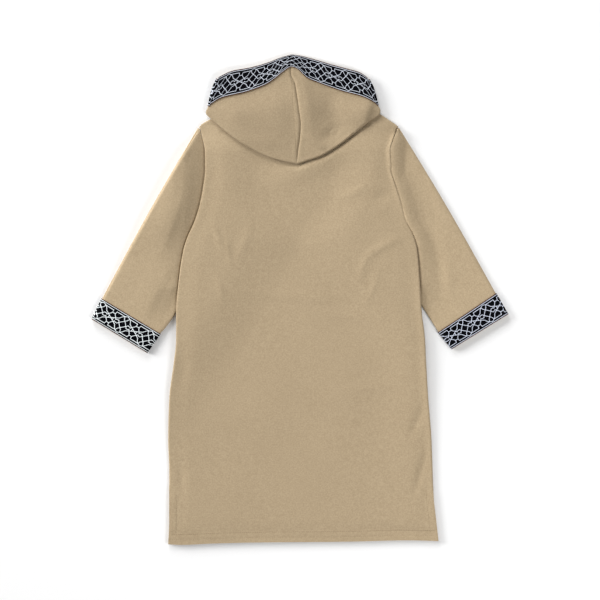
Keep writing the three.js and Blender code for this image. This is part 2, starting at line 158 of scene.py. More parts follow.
SIDES = {
    "left": {
        "sign": -1,
        "shoulder": (-157.9, 267.2),
        "inner": [(-117, 102.6), (-193.5, -22), (-217, -52.5)],
        "band_top": (-307.2, 1.6),
        "cuff_outer": (-322.6, -30.5),
        "cuff_inner": (-237.8, -82.2),
        "face": [
            PEAK, (-30, 375.4), (-53, 366.6), (-79, 359.6), (-103, 355.3), (-118, 349.2), (-129, 342.7),
        ],
        "band_inner": [
            (-15, 361), (-28, 351.4), (-50.8, 334), (-83.5, 321.5), (-121.5, 312.3), (-142.3, 299.8),
        ],
        "fold": [TIP, (-45.9, 219.8), (-87.4, 240.6), (-116.6, 261.3), (-128, 271.3)],
        "corner": [(-142.3, 299.8), (-146, 289.5), (-139.3, 281.2), (-128, 271.3)],
        "wrap": [(-129, 342.7), (-136, 326.4), (-142.3, 299.8)],
        "lip_neck": (-70, 319),
        "lip_face": [(-42, 332), (-88, 331), (-129, 342.7)],
        "throat_seam": [(-61, 316), (-57.2, 285.2), (-44.4, 264.5), (-24.8, 251.7), (-3.4, 248.2)],
        "throat_face": [(-38, 322), (-28, 300), (-18, 279), (-9.5, 260), (-3.4, 250.6)],
        "cuff_phase": 4.7,
        "cuff_skew": -0.15,
        "hood_phase": 24.0,
    },
    "right": {
        "sign": 1,
        "shoulder": (153.1, 267.5),
        "inner": [(117, 102.6), (190.5, -12), (214.8, -50.1)],
        "band_top": (303.8, 9.6),
        "cuff_outer": (322.6, -22.8),
        "cuff_inner": (236.2, -76.3),
        "face": [PEAK, (6.2, 377), (27.9, 370.9), (49.6, 364.4), (71.3, 358.5), (93, 352), (107.4, 341.6)],
        "band_inner": [
            (-15, 361), (-3.6, 356.8), (11.6, 342.7), (33.5, 334), (66, 322.6), (98.7, 313.4), (121, 301),
        ],
        "fold": [TIP, (12.2, 215.8), (32.9, 223), (62, 240.6), (89, 261.3), (109.7, 277.9)],
        "corner": [(121, 301), (124.6, 294), (122.5, 286), (109.7, 277.9)],
        "wrap": [(107.4, 341.6), (114.5, 326), (121, 301)],
        "lip_neck": (64, 319),
        "lip_face": [(36, 332), (76, 331), (107.4, 341.6)],
        "throat_seam": [(55, 316), (51.2, 285.2), (38.4, 264.5), (18.8, 251.7), (-2.6, 248.2)],
        "throat_face": [(32, 322), (22, 300), (12, 279), (3.5, 260), (-2.6, 250.6)],
        "cuff_phase": 26.9,
        "cuff_skew": 0.0,
        "hood_phase": 8.0,
    },
}

# ---------------- creases
# Each crease: its start and its end (x, y), its half width, its height (below 0 for a trough)
# and how far its middle bows to the left of its way.
BACK_CREASES = [
    ((62, 160), (102, 176), 7, 1.1, -3),
    ((114, 157), (138, 160), 9, -1.2, 0),
    ((106, 66), (155, 95), 6, 1.1, 3),
    ((92, 28), (110, 74), 6, 0.8, 3),
    ((101, -6), (121, 46), 4.5, 0.6, -3),
    ((-133, 114), (-118, 72), 4.5, 1.2, 0),
    ((-115, 96), (-108, 56), 4, 1.0, 0),
    ((-128, 34), (-120, -4), 4, 0.7, 1),
    ((-78, 118), (-97, 62), 7, 0.6, 3),
    ((-88, 12), (64, 4), 8, 0.5, -4),
    ((40, -22), (104, -34), 7, 0.5, 3),
    ((60, -140), (150, -128), 8, 0.5, -4),
    ((-183, -84), (-181, -132), 9, -0.8, 0),
    ((-184, -250), (-183, -300), 7, -1.0, 0),
    ((172, -212), (192, -164), 6, -1.2, 0),
    ((178, -300), (196, -238), 6, -1.4, 0),
    ((134, -357), (200, -365), 7, -0.8, 0),
    ((-130, -170), (10, -235), 34, 1.0, 12),
    ((-70, 190), (-100, -60), 34, -0.7, 12),
    ((20, 150), (60, -150), 36, 0.5, -14),
    ((110, -80), (120, -330), 34, -1.1, 10),
    ((-40, 184), (116, 258), 22, 3.2, 0),
]
FRONT_CREASES = [
    ((-96, 120), (-70, 30), 8, 1.0, 4),
    ((70, 118), (52, 36), 8, 0.9, -5),
    ((-120, -60), (-20, -84), 9, 0.8, 6),
    ((30, -120), (128, -96), 9, 0.9, -4),
    ((-130, -210), (-96, -320), 10, 0.9, -6),
    ((92, -230), (104, -330), 10, 0.8, 5),
]
SLEEVE_CREASES = {
    "left": [
        ((-170, 204), (-184, 100), 6, 0.7, 2),
        ((-182, 196), (-200, 130), 9, -0.5, 0),
        ((-192, 150), (-218, 60), 9, 0.5, 3),
        ((-196, 40), (-226, -30), 8, -0.6, -3),
        ((-260, 60), (-282, 14), 14, 0.5, 0),
    ],
    "right": [
        ((168, 246), (159, 184), 7, -1.2, -1),
        ((190, 186), (204, 96), 9, -0.8, 4),
        ((205, 100), (219, 4), 9, -0.9, 5),
        ((206, 190), (236, 40), 12, 0.3, 6),
        ((226, 60), (236, 4), 8, 0.6, 0),
        ((214, -2), (244, -22), 6, -0.6, 0),
    ],
}
HOOD_CREASES = [
    ((3, 352), (15, 258), 12, 2.2, 1),
    ((44, 322), (60, 258), 19, -4.2, -2),
    ((36, 250), (60, 264), 8, -2.2, 0),
    ((9, 253), (44, 230), 4, 1.7, 0),
    ((70, 290), (104, 276), 10, 0.9, 3),
    ((112, 308), (98, 268), 20, 3.6, 0),
    ((-46, 330), (-30, 250), 14, 0.4, 2),
    ((-80, 252), (-38, 236), 9, 1.1, 0),
    ((-104, 300), (-96, 268), 12, 0.8, 0),
]
# The share of its height that a crease keeps at its ends.
CREASE_END = 0.35


def crease_height(table, x, y):
    total = np.zeros_like(x)
    for (start_x, start_y), (end_x, end_y), width, height, bow in table:
        length = math.hypot(end_x - start_x, end_y - start_y)
        way_x, way_y = (end_x - start_x) / length, (end_y - start_y) / length
        along = (x - start_x) * way_x + (y - start_y) * way_y
        aside = (y - start_y) * way_x - (x - start_x) * way_y
        share = np.clip(along / length, 0, 1)
        bend = bow * 4 * share * (1 - share)
        past = np.maximum(0, np.maximum(-along, along - length))
        away = np.hypot(aside - bend, past)
        fade = CREASE_END + (1 - CREASE_END) * np.sin(np.pi * share)
        total = total + height * fade * bell(away, 0, width)
    return total


# ---------------- curves and lengths
def blend(first, second, share):
    return first + (second - first) * share


def smooth(value, low, high):
    share = np.clip((value - low) / (high - low), 0, 1)
    return share * share * (3 - 2 * share)


def spread(count):
    return np.linspace(0, 1, count + 1)


def bell(distance, middle, width):
    return np.exp(-(((distance - middle) / width) ** 2))


def side_column(sign):
    """The column of BODY_EDGES for the left (-1) or the right (1)."""
    return 1 if sign < 0 else 2


def look_up(table, column, at):
    """Reads a smooth curve through a table whose first column rises, with no overshoot between the rows."""
    keys = table[:, 0]
    values = table[:, column]
    steps = np.diff(keys)
    slopes = np.diff(values) / steps
    tangents = np.zeros(len(keys))
    same_way = slopes[:-1] * slopes[1:] > 0
    pairs = np.where(same_way, slopes[:-1] + slopes[1:], 1)
    tangents[1:-1] = np.where(same_way, 2 * slopes[:-1] * slopes[1:] / pairs, 0)
    tangents[0], tangents[-1] = slopes[0], slopes[-1]
    at = np.clip(at, keys[0], keys[-1])
    row = np.clip(np.searchsorted(keys, at) - 1, 0, len(keys) - 2)
    share = (at - keys[row]) / steps[row]
    square, cube = share**2, share**3
    step = steps[row]
    low = (2 * cube - 3 * square + 1) * values[row] + (cube - 2 * square + share) * step * tangents[row]
    high = (3 * square - 2 * cube) * values[row + 1] + (cube - square) * step * tangents[row + 1]
    return low + high


def walk(points, shares):
    """Places at given shares of the length of a smooth line through the points."""
    points = np.array(points, float)
    ends = np.vstack([points[:1], points, points[-1:]])
    part = np.linspace(0, 1, 25)[:-1, None]
    pieces = []
    for row in range(len(points) - 1):
        before, start, end, after = ends[row : row + 4]
        start_way, end_way = (end - before) / 2, (after - start) / 2
        cubic = (2 * (start - end) + start_way + end_way) * part**3
        square = (3 * (end - start) - 2 * start_way - end_way) * part**2
        pieces.append(cubic + square + start_way * part + start)
    line = np.vstack([*pieces, points[-1:]])
    lengths = np.concatenate([[0], np.cumsum(np.hypot(*np.diff(line, axis=0).T))])
    at = np.asarray(shares) * lengths[-1]
    return np.stack([np.interp(at, lengths, line[:, 0]), np.interp(at, lengths, line[:, 1])], axis=-1)


def chart_of(along, across):
    """The trim's own lengths on a grid: one along each row and one along each column."""
    return np.stack(np.meshgrid(along, across), axis=-1)


def lengths_along(places):
    return np.concatenate([[0], np.cumsum(np.linalg.norm(np.diff(places, axis=0), axis=1))])


# ---------------- heights
def sleeve_lift(x, y):
    """The sleeves run under the body, and the body rises over them."""
    highest = np.zeros_like(x)
    for side in SIDES.values():
        sign = side["sign"]
        (underarm_x, underarm_y), (exit_x, exit_y) = side["inner"][:2]
        shoulder_x, shoulder_y = side["shoulder"]
        cap_length = math.hypot(underarm_x - shoulder_x, underarm_y - shoulder_y)
        inner_length = math.hypot(exit_x - underarm_x, exit_y - underarm_y)
        dx, dy = x - underarm_x, y - underarm_y
        inwards = sign * (dx * (underarm_y - shoulder_y) - dy * (underarm_x - shoulder_x)) / cap_length
        below = sign * (dx * (exit_y - underarm_y) - dy * (exit_x - underarm_x)) / inner_length
        away = np.maximum(inwards, below)
        high = smooth(y, 100, 170)
        slope = smooth(away, blend(30, 16, high), blend(120, 90, high))
        lift = (SLEEVE_STACK + SEAM) * (1 - slope)
        highest = np.maximum(highest, lift * (1 - smooth(y, 226, 268)))
    return highest


def neck_lift(x, y):
    away = np.hypot((x - NECK["middle"]) / 1.15, np.maximum(0, 245 - y))
    return TRIM_BED * (1 - smooth(away, 72, 140))


def body_lift(x, y):
    return sleeve_lift(x, y) + neck_lift(x, y)


def from_edges(x, y):
    """How far in a place lies from the body's left edge, its right edge and its hem."""
    left = x - look_up(BODY_EDGES, 1, y)
    right = look_up(BODY_EDGES, 2, y) - x
    return left, right, y - look_up(HEM, 1, x)


def inside_body(x, y, fade):
    """0 at the body's edges, 1 from the fade's distance inwards."""
    left, right, hem = from_edges(x, y)
    return smooth(np.minimum(np.minimum(left, right), hem), 0, fade)


def turned_edges(x, y):
    """The hem and the slit edges are turned in and stitched, so they stand a little proud of the panel."""
    from_left, from_right, above_hem = from_edges(x, y)
    from_side = np.minimum(from_left, from_right)
    hem = EDGE_STAND * (1 - smooth(above_hem, HEM_DEPTH, HEM_DEPTH + EDGE_STEP))
    rows = STITCH_SINK * sum(bell(above_hem, above, 1.5) for above in HEM_ROWS.values())
    in_slit = 1 - smooth(y, SLIT_TOP - 8, SLIT_TOP)
    slit = in_slit * EDGE_STAND * (1 - smooth(from_side, SLIT_DEPTH, SLIT_DEPTH + EDGE_STEP))
    row = in_slit * STITCH_SINK * bell(from_side, SLIT_DEPTH, 1.4)
    return np.maximum(hem, slit) - np.maximum(rows, row)


def front_rise(x, y):
    return inside_body(x, y, 40) * np.maximum(0, crease_height(FRONT_CREASES, x, y))


def edge_ridges(x, y):
    """The cloth stands up just inside each armhole seam, and along the right side down to the hem."""
    from_left, from_right, _ = from_edges(x, y)
    left = 0.3 * bell(from_left, 6, 6) * smooth(from_left, 0, 4)
    right = 1.9 * bell(from_right, 0.5, 4) * smooth(y, 110, 190)
    at_armhole = smooth(y, 40, 150) * (1 - smooth(y, 250, 268))
    low_right = (1 - smooth(y, 0, 70)) * 0.8 * bell(from_right, 2, 5)
    wide_right = 1.1 * bell(from_right, 1, 14) * smooth(y, -40, 20) * (1 - smooth(y, 150, 200))
    return at_armhole * (left + right) + low_right + wide_right


# The hood's lower fold from the left corner over the tip to the right corner: x, y.
FOLD_LINE = np.array(SIDES["left"]["fold"][::-1] + SIDES["right"]["fold"][1:])


def under_hood(x, y):
    """1 under the hood, where the back panel is pressed flat, and 0 clear of it."""
    return smooth(y - look_up(FOLD_LINE, 1, x), -9, 2)


# A little unevenness: each wave's height, its lengths along x and y, and its shift.
BACK_WAVES = [(0.18, 31, 57, 0), (0.13, -90, 23, 1.3), (0.09, 17, -40, 0)]
HOOD_WAVES = [(0.2, 19, 34, 0), (0.16, -60, 15, 0.7)]


def wave_height(table, x, y):
    return sum(height * np.sin(x / run_x + y / run_y + shift) for height, run_x, run_y, shift in table)


def back_rise(x, y):
    loft = 1.3 * inside_body(x, y, 34) + edge_ridges(x, y)
    uneven = crease_height(BACK_CREASES, x, y) + wave_height(BACK_WAVES, x, y)
    rise = loft + inside_body(x, y, 12) * uneven + turned_edges(x, y)
    return np.maximum(rise * (1 - under_hood(x, y)), front_rise(x, y) - 0.45)


def hidden_hood_height(x, y):
    """Middle height of the hood's hidden layer, which lies on the back panel."""
    return body_lift(x, y) + LAYER_RISE + CLOTH + SEAM + HALF_CLOTH


# ---------------- cloth
def make_piece(name, mesh, look, smooth_below=math.radians(50)):
    """An object of the mesh, with the edges that are sharper than the angle left sharp."""
    mesh.materials.append(look)
    piece = bpy.data.objects.new(name, mesh)
    bpy.context.collection.objects.link(piece)
    bpy.context.view_layer.objects.active = piece
    piece.select_set(True)
    bpy.ops.object.shade_smooth_by_angle(angle=smooth_below)
    piece.select_set(False)
    return piece


# Points that are the same to a hundredth of a millimetre are one point.
MERGES_PER_MM = 100


class Cloth:
    """The middle surface of a piece of cloth: points shared between grids, and faces that carry a tag."""

    def __init__(self):
        self.points = []
        self.known = {}
        self.outward = {}
        self.faces = []
        self.tags = []
        self.charts = []

    def index_of(self, spot):
        key = tuple(np.round(spot * MERGES_PER_MM).astype(int))
        if key not in self.known:
            self.known[key] = len(self.points)
            self.points.append(spot)
        return self.known[key]

    def add_grid(self, grid, tag, outside, chart=None, outward=None):
        """outside gives the garment's outer side at face centres, and chart the trim's own lengths."""
        rows, columns = grid.shape[:2]
        ids = np.array([self.index_of(spot) for spot in grid.reshape(-1, 3)]).reshape(rows, columns)
        if outward is not None:
            for index, way in zip(ids.ravel(), outward.reshape(-1, 3)):
                if np.any(way):
                    self.outward[index] = way
        if chart is None:
            chart = np.zeros((rows, columns, 2))

        def at_corners(values):
            return np.stack([values[:-1, :-1], values[:-1, 1:], values[1:, 1:], values[1:, :-1]], axis=2)

        loops = at_corners(ids).reshape(-1, 4)
        corners = at_corners(chart).reshape(-1, 4, 2)
        places = np.array(self.points)[loops]
        areas = np.cross(places[:, 2] - places[:, 0], places[:, 3] - places[:, 1])
        if np.sum(areas * outside(places.mean(axis=1))) < 0:
            loops = loops[:, [0, 3, 2, 1]]
            corners = corners[:, [0, 3, 2, 1]]
        for loop, corner in zip(loops, corners):
            keep = [step for step in range(4) if loop[step] != loop[step - 1]]
            if len({loop[step] for step in keep}) > 2:
                self.faces.append([int(loop[step]) for step in keep])
                self.charts.append([corner[step] for step in keep])
                self.tags.append(tag)

    def directions(self, seam_test):
        places = np.array(self.points)
        sums = np.zeros_like(places)
        for face in self.faces:
            first = places[face[0]]
            area = sum(np.cross(places[b] - first, places[c] - first) for b, c in zip(face[1:], face[2:]))
            sums[face] += area
        for index, way in self.outward.items():
            sums[index] = way
        if seam_test is not None:
            sums[seam_test(places), 0] = 0
        return sums / np.maximum(1e-9, np.linalg.norm(sums, axis=1))[:, None]

    def wall(self, name, look, slot, inner=-HALF_CLOTH, outer=HALF_CLOTH, tag=None, seam_test=None):
        """A closed wall between two distances from the middle surface, as an object in metres."""
        places = np.array(self.points)
        ways = self.directions(seam_test)
        chosen = [index for index, face_tag in enumerate(self.tags) if tag in (None, face_tag)]
        used = sorted({corner for index in chosen for corner in self.faces[index]})
        order = {corner: step for step, corner in enumerate(used)}
        count = len(used)
        spots = np.vstack([places[used] + ways[used] * outer, places[used] + ways[used] * inner]) * METRE
        loops = []
        chart = []
        borders = {}
        for index in chosen:
            face = [order[corner] for corner in self.faces[index]]
            corners = self.charts[index]
            loops.append(face)
            chart.extend(corners)
            loops.append([corner + count for corner in reversed(face)])
            chart.extend(reversed(corners))
            for step, start in enumerate(face):
                end = face[(step + 1) % len(face)]
                if (end, start) in borders:
                    del borders[(end, start)]
                else:
                    borders[(start, end)] = (corners[step], corners[(step + 1) % len(face)])
        for (start, end), (start_chart, end_chart) in borders.items():
            loops.append([start, start + count, end + count, end])
            chart.extend([start_chart, start_chart, end_chart, end_chart])
        mesh = bpy.data.meshes.new(name)
        mesh.from_pydata(spots.tolist(), [], loops)
        layer = mesh.uv_layers.new(name="trim_length")
        layer.data.foreach_set("uv", (np.array(chart) * METRE).ravel())
        mesh.validate()
        return make_piece(name, mesh, look)


def facing(x, y, z):
    return lambda centres: np.broadcast_to(np.array([x, y, z], float), centres.shape)


# ---------------- materials
def new_material(name):
    material = bpy.data.materials.new(name)
    material.use_nodes = True
    nodes = material.node_tree.nodes
    nodes.clear()
    output = nodes.new("ShaderNodeOutputMaterial")
    shader = nodes.new("ShaderNodeBsdfPrincipled")
    material.node_tree.links.new(shader.outputs["BSDF"], output.inputs["Surface"])
    return material, shader


def set_sockets(node, settings):
    for socket, value in settings.items():
        node.inputs[socket].default_value = value


def noise(tree, coordinates, scale, detail, roughness):
    node = tree.nodes.new("ShaderNodeTexNoise")
    set_sockets(node, {"Scale": scale, "Detail": detail, "Roughness": roughness})
    tree.links.new(coordinates, node.inputs["Vector"])
    return node.outputs["Fac"]


def feed(tree, sockets, values):
    """Sets each socket to a number or a colour, or links it to the output that is given."""
    for socket, value in zip(sockets, values):
        if isinstance(value, bpy.types.NodeSocket):
            tree.links.new(value, socket)
        else:
            socket.default_value = value


def math_node(tree, operation, *values):
    node = tree.nodes.new("ShaderNodeMath")
    node.operation = operation
    feed(tree, node.inputs, values)
    return node.outputs[0]


def vector_node(tree, operation, *values):
    node = tree.nodes.new("ShaderNodeVectorMath")
    node.operation = operation
    feed(tree, node.inputs, values)
    return node


def map_range(tree, value, low, high, to_low, to_high):
    node = tree.nodes.new("ShaderNodeMapRange")
    node.interpolation_type = "SMOOTHSTEP"
    names = ("Value", "From Min", "From Max", "To Min", "To Max")
    feed(tree, [node.inputs[name] for name in names], (value, low, high, to_low, to_high))
    return node.outputs["Result"]


def mix_colours(tree, share, first, second):
    node = tree.nodes.new("ShaderNodeMix")
    node.data_type = "RGBA"
    first, second = ((*value, 1) if isinstance(value, tuple) else value for value in (first, second))
    feed(tree, (node.inputs[0], node.inputs[6], node.inputs[7]), (share, first, second))
    return node.outputs[2]


def bump(tree, shader, height, strength, distance):
    node = tree.nodes.new("ShaderNodeBump")
    names = ("Height", "Strength", "Distance")
    feed(tree, [node.inputs[name] for name in names], (height, strength, distance))
    tree.links.new(node.outputs["Normal"], shader.inputs["Normal"])


FLEECE_DARK = (0.345, 0.262, 0.163)
FLEECE_LIGHT = (0.425, 0.330, 0.212)
# Painted shade: each kind of piece's fleece is painted a little lighter or darker, standing in for how the
# light falls on its nap, which lies another way on each kind.
NAP_SHADE_TONES = {"body": 1.01, "sleeve": 1.09, "hood": 0.91}
# Each kind of unevenness in the fleece: its scale, detail and roughness.
FLEECE_NOISE = {
    "grain": (460, 3, 0.6),
    "mottle": (120, 3, 0.55),
    "patches": (9, 2, 0.5),
    "nap": (900, 4, 0.65),
    "lie": (210, 2, 0.5),
}
FLEECE_SURFACE = {
    "Roughness": 0.95,
    "Specular IOR Level": 0.12,
    "Sheen Weight": 0.12,
    "Sheen Roughness": 0.6,
    "Sheen Tint": (0.9, 0.82, 0.7, 1),
}


def brushed_fleece(cut, nap_shade_tone):
    material, shader = new_material(f"brushed_fleece_{cut}")
    tree = material.node_tree
    place = tree.nodes.new("ShaderNodeTexCoord").outputs["Object"]
    uneven = {kind: noise(tree, place, *settings) for kind, settings in FLEECE_NOISE.items()}
    shade = math_node(tree, "MULTIPLY_ADD", uneven["grain"], 3.0, -1.425)
    shade = math_node(tree, "MULTIPLY_ADD", uneven["mottle"], 0.6, shade)
    shade = math_node(tree, "MULTIPLY_ADD", uneven["patches"], 0.25, shade)
    # The nap shade tone scales both fleece colours, as painted shade.
    dark, light = (tuple(nap_shade_tone * part for part in colour) for colour in (FLEECE_DARK, FLEECE_LIGHT))
    colour = mix_colours(tree, shade, dark, light)
    tree.links.new(colour, shader.inputs["Base Color"])
    set_sockets(shader, FLEECE_SURFACE)
    height = math_node(tree, "MULTIPLY_ADD", uneven["lie"], 0.8, uneven["nap"])
    bump(tree, shader, height, 0.5, 0.0005)
    return material


# The trim's interlace, charted for one quarter of its repeat: from the diamond's middle along the
# trim (u) and from the trim's middle towards its edge (v). Each row is one pale strand, end to end.
REPEAT = 42.0
STRANDS = [
    ((0, 6.1), (6.3, 0)),
    ((0, 6.1), (2.6, 8.6)),
    ((2.6, 8.6), (4.2, 12.3)),
    ((0, 14.4), (4.2, 12.3)),
    ((4.2, 12.3), (17.9, 12.3)),
    ((4.2, 12.3), (7.2, 9.8)),
    ((7.2, 9.8), (9.6, 6.0)),
    ((9.6, 6.0), (14.4, 3.4)),
    ((17.9, 12.3), (18.7, 8.5)),
    ((18.7, 8.5), (21.0, 8.5)),
    ((18.7, 8.5), (17.3, 6.2)),
    ((17.3, 6.2), (14.4, 3.4)),
    ((14.4, 3.4), (21.0, 0)),
    ((6.3, 0), (8.3, 2.6)),
    ((8.3, 2.6), (11.4, 2.6)),
    ((11.4, 2.6), (13.0, 1.3)),
    ((13.0, 1.3), (14.4, 3.4)),
    ((16.8, 2.2), (17.4, 0)),
]
STRAND_EDGE = 0.1
RAIL = {"v": 15.7, "half": 0.36}
NAVY = (0.0012, 0.0016, 0.0026)
EDGE_BROWN = (0.070, 0.027, 0.012)
EDGE_BROWN_FROM = (16.2, 16.6)
# Each trim's strand half width and pale colour. All three share one interlace; the left cuff's strands are
# bright, and the right cuff's and the hood's are painted duller, as shade.
TRIM_STRANDS_AND_SHADE = {
    "cuff_left": {"half": 0.44, "pale": (0.92, 0.98, 1.0)},
    "cuff_right": {"half": 0.38, "pale": (0.72, 0.77, 0.90)},
    "hood": {"half": 0.35, "pale": (0.65, 0.69, 0.77)},
}


def woven_trim(name):
    strands_and_shade = TRIM_STRANDS_AND_SHADE[name]
    material, shader = new_material(f"woven_trim_{name}")
    tree = material.node_tree
    chart = tree.nodes.new("ShaderNodeUVMap")
    chart.uv_map = "trim_length"
    wobble = noise(tree, chart.outputs["UV"], 160, 1, 0.5)
    parts = tree.nodes.new("ShaderNodeSeparateXYZ")
    tree.links.new(chart.outputs["UV"], parts.inputs["Vector"])
    shake = math_node(tree, "MULTIPLY_ADD", wobble, 0.5, -0.25)
    along = math_node(tree, "MULTIPLY_ADD", parts.outputs["X"], 1000, shake)
    across = math_node(tree, "MULTIPLY_ADD", parts.outputs["Y"], 1000, shake)
    share = math_node(tree, "ADD", math_node(tree, "DIVIDE", along, REPEAT), 1000.5)
    share = math_node(tree, "SUBTRACT", math_node(tree, "FRACT", share), 0.5)
    u = math_node(tree, "MULTIPLY", math_node(tree, "ABSOLUTE", share), REPEAT)
    v = math_node(tree, "ABSOLUTE", math_node(tree, "SUBTRACT", across, TRIM_WIDTH / 2))
    spot = tree.nodes.new("ShaderNodeCombineXYZ")
    feed(tree, spot.inputs, (u, v))
    nearest = None
    for (start_u, start_v), (end_u, end_v) in STRANDS:
        run = (end_u - start_u, end_v - start_v, 0)
        start = (start_u, start_v, 0)
        offset = vector_node(tree, "SUBTRACT", spot.outputs["Vector"], start).outputs["Vector"]
        dot = vector_node(tree, "DOT_PRODUCT", offset, run).outputs["Value"]
        part = math_node(tree, "DIVIDE", dot, run[0] ** 2 + run[1] ** 2)
        part.node.use_clamp = True
        foot = vector_node(tree, "SCALE", run)
        tree.links.new(part, foot.inputs["Scale"])
        distance = vector_node(tree, "DISTANCE", offset, foot.outputs["Vector"]).outputs["Value"]
        nearest = distance if nearest is None else math_node(tree, "MINIMUM", nearest, distance)

    def band(value, half):
        return map_range(tree, value, half - STRAND_EDGE, half + STRAND_EDGE, 1, 0)

    from_rail = math_node(tree, "ABSOLUTE", math_node(tree, "SUBTRACT", v, RAIL["v"]))
    pale = math_node(tree, "MAXIMUM", band(nearest, strands_and_shade["half"]), band(from_rail, RAIL["half"]))
    ribs = tree.nodes.new("ShaderNodeTexWave")
    ribs.wave_type = "BANDS"
    ribs.bands_direction = "DIAGONAL"
    set_sockets(ribs, {"Scale": 180, "Distortion": 0.6, "Detail": 1})
    tree.links.new(chart.outputs["UV"], ribs.inputs["Vector"])
    weave = math_node(tree, "MULTIPLY_ADD", ribs.outputs["Fac"], 0.12, 0.88)
    pale = math_node(tree, "MULTIPLY", pale, weave)
    ground = mix_colours(tree, map_range(tree, v, *EDGE_BROWN_FROM, 0, 1), NAVY, EDGE_BROWN)
    # The pale colour carries painted shade on the right cuff and the hood.
    colour = mix_colours(tree, pale, ground, strands_and_shade["pale"])
    tree.links.new(colour, shader.inputs["Base Color"])
    set_sockets(shader, {"Roughness": 0.75, "Specular IOR Level": 0.03})
    height = math_node(tree, "MULTIPLY_ADD", pale, 0.7, ribs.outputs["Fac"])
    bump(tree, shader, height, 0.35, 0.0003)
    return material


def plain_material(name, colour, roughness):
    material, shader = new_material(name)
    set_sockets(shader, {"Base Color": (*colour, 1), "Roughness": roughness, "Specular IOR Level": 0.2})
    return material


FLEECE = {cut: brushed_fleece(cut, nap_shade_tone) for cut, nap_shade_tone in NAP_SHADE_TONES.items()}
WOVEN = {name: woven_trim(name) for name in TRIM_STRANDS_AND_SHADE}
THREAD = plain_material("sewing_thread", (0.27, 0.205, 0.125), 0.7)
PALE_FLOOR = plain_material("pale_floor", (0.88, 0.88, 0.88), 0.9)

# ---------------- body panels
CURL_TURNS = np.array([90, 67.5, 45, 22.5, 0])
PANEL_COLUMNS = 128
PANEL_ROWS = 206


def edge_turn(turn, weight):
    """How a panel's edge turns towards its seam: the way in from the outline, the drop and the angle."""
    angle = np.radians(turn)
    reach = HALF_CLOTH + EDGE_RADIUS
    flat = reach * (1 - turn / 90)
    curled = reach - EDGE_RADIUS * np.sin(angle)
    return blend(flat, curled, weight), weight * EDGE_RADIUS * (1 - np.cos(angle)), weight * angle


def body_panel(which):
    back = which == "back"
    shares = spread(PANEL_COLUMNS)
    curl = len(CURL_TURNS)
    across = np.concatenate([np.zeros(curl), shares[1:-1], np.ones(curl)])
    turns = np.concatenate([CURL_TURNS, np.full(len(shares) - 2, np.nan), CURL_TURNS[::-1]])
    up = np.concatenate([spread(PANEL_ROWS)[:-1], np.ones(curl)])
    up_turns = np.concatenate([np.full(PANEL_ROWS, np.nan), CURL_TURNS[::-1]])
    across, up = np.meshgrid(across, up)
    turns, up_turns = np.meshgrid(turns, up_turns)

    edge_y = blend(BODY_EDGES[0, 0], BODY_EDGES[-1, 0], up)
    top_x = blend(BODY_TOP[0, 0], BODY_TOP[-1, 0], across)
    plain_x = blend(look_up(BODY_EDGES, 1, edge_y), look_up(BODY_EDGES, 2, edge_y), across)
    highest = look_up(BODY_TOP, 1, top_x)
    deeper = highest - look_up(BODY_TOP, 1 if back else 2, top_x)
    y = blend(look_up(HEM, 1, plain_x), highest, up) - deeper * smooth(up, 0.8, 1)
    in_neck = (top_x > NECK["left"] - 1) & (top_x < NECK["right"] + 1)
    side_way = np.where(across < 0.5, 1, -1)
    at_side = ~np.isnan(turns)
    at_top = ~np.isnan(up_turns)
    # Along the upper right armhole the sleeve's edge is level with the body's, so the body's
    # edges lie flat there instead of turning towards each other.
    level = np.where(across > 0.5, smooth(y, 190, 212) * (1 - smooth(y, 256, 266)), 0)
    inset, drop, angle = edge_turn(np.nan_to_num(turns), smooth(y, SLIT_TOP, SLIT_TOP + 15) * (1 - level))
    top_inset, top_drop, top_angle = edge_turn(np.nan_to_num(up_turns), np.where(in_neck, 0, 1))
    inset, drop, angle = np.where(at_side, (inset, drop, angle), 0)
    top_inset, top_drop, top_angle = np.where(at_top, (top_inset, top_drop, top_angle), 0)

    x = plain_x + side_way * inset
    y = y - top_inset
    drop = np.maximum(drop, top_drop)
    rise = np.minimum(np.cos(angle), np.cos(top_angle))
    middle = HALF_CLOTH + (LAYER_RISE - drop if back else drop)
    free = back_rise(x, y) if back else front_rise(x, y)
    # At the armholes the sleeve's edge holds the back's edge up, so it drops less than elsewhere.
    held_up = 0.8 * smooth(y, 110, 150) * (1 - smooth(y, 240, 262)) if back else 0
    z = body_lift(x, y) + middle + free * np.maximum(np.clip(rise, 0, 1), held_up * at_side)
    outward = np.stack([-side_way * np.sin(angle), np.sin(top_angle), rise if back else -rise], axis=-1)
    turned = (angle > 0) | (top_angle > 0)
    outward = outward * turned[..., None]
    cloth = Cloth()
    cloth.add_grid(np.stack([x, y, z], axis=-1), "panel", facing(0, 0, 1 if back else -1), outward=outward)
    return cloth.wall(f"{which}_panel", FLEECE["body"], "fleece")


# ---------------- sleeves and cuff trim
# How far a sleeve's upper layer stands up at a distance from the body's edge: "high" beside the
# armhole and "low" further down. "change" gives the y between which one turns into the other, and
# "skip" how much of the rise is skipped along the armhole seam.
SLEEVE_FILL = {
    "left": {
        "high": [(-0.5, 0), (1, 0.2), (5, 1.8), (20, 7.4), (34, 12.0), (46, 13.0), (80, 11.4), (200, 11)],
        "low": [(-0.5, 0), (0.8, 0.3), (2.4, 2.2), (10, 4.2), (24, 5.4), (50, 5.8), (200, 5.8)],
        "change": (50, 150),
        "skip": 0,
    },
    "right": {
        "high": [(-0.5, 0), (0.4, 0.6), (2.6, 6.4), (8, 6.1), (16, 4.2), (26, 0.9), (36, 0), (200, 0)],
        "low": [(-0.5, 0), (0.8, 0.3), (2.4, 3.3), (5, 3.6), (12, 2.7), (30, 0.8), (200, 0.8)],
        "change": (40, 130),
        "skip": 2.4,
    },
}
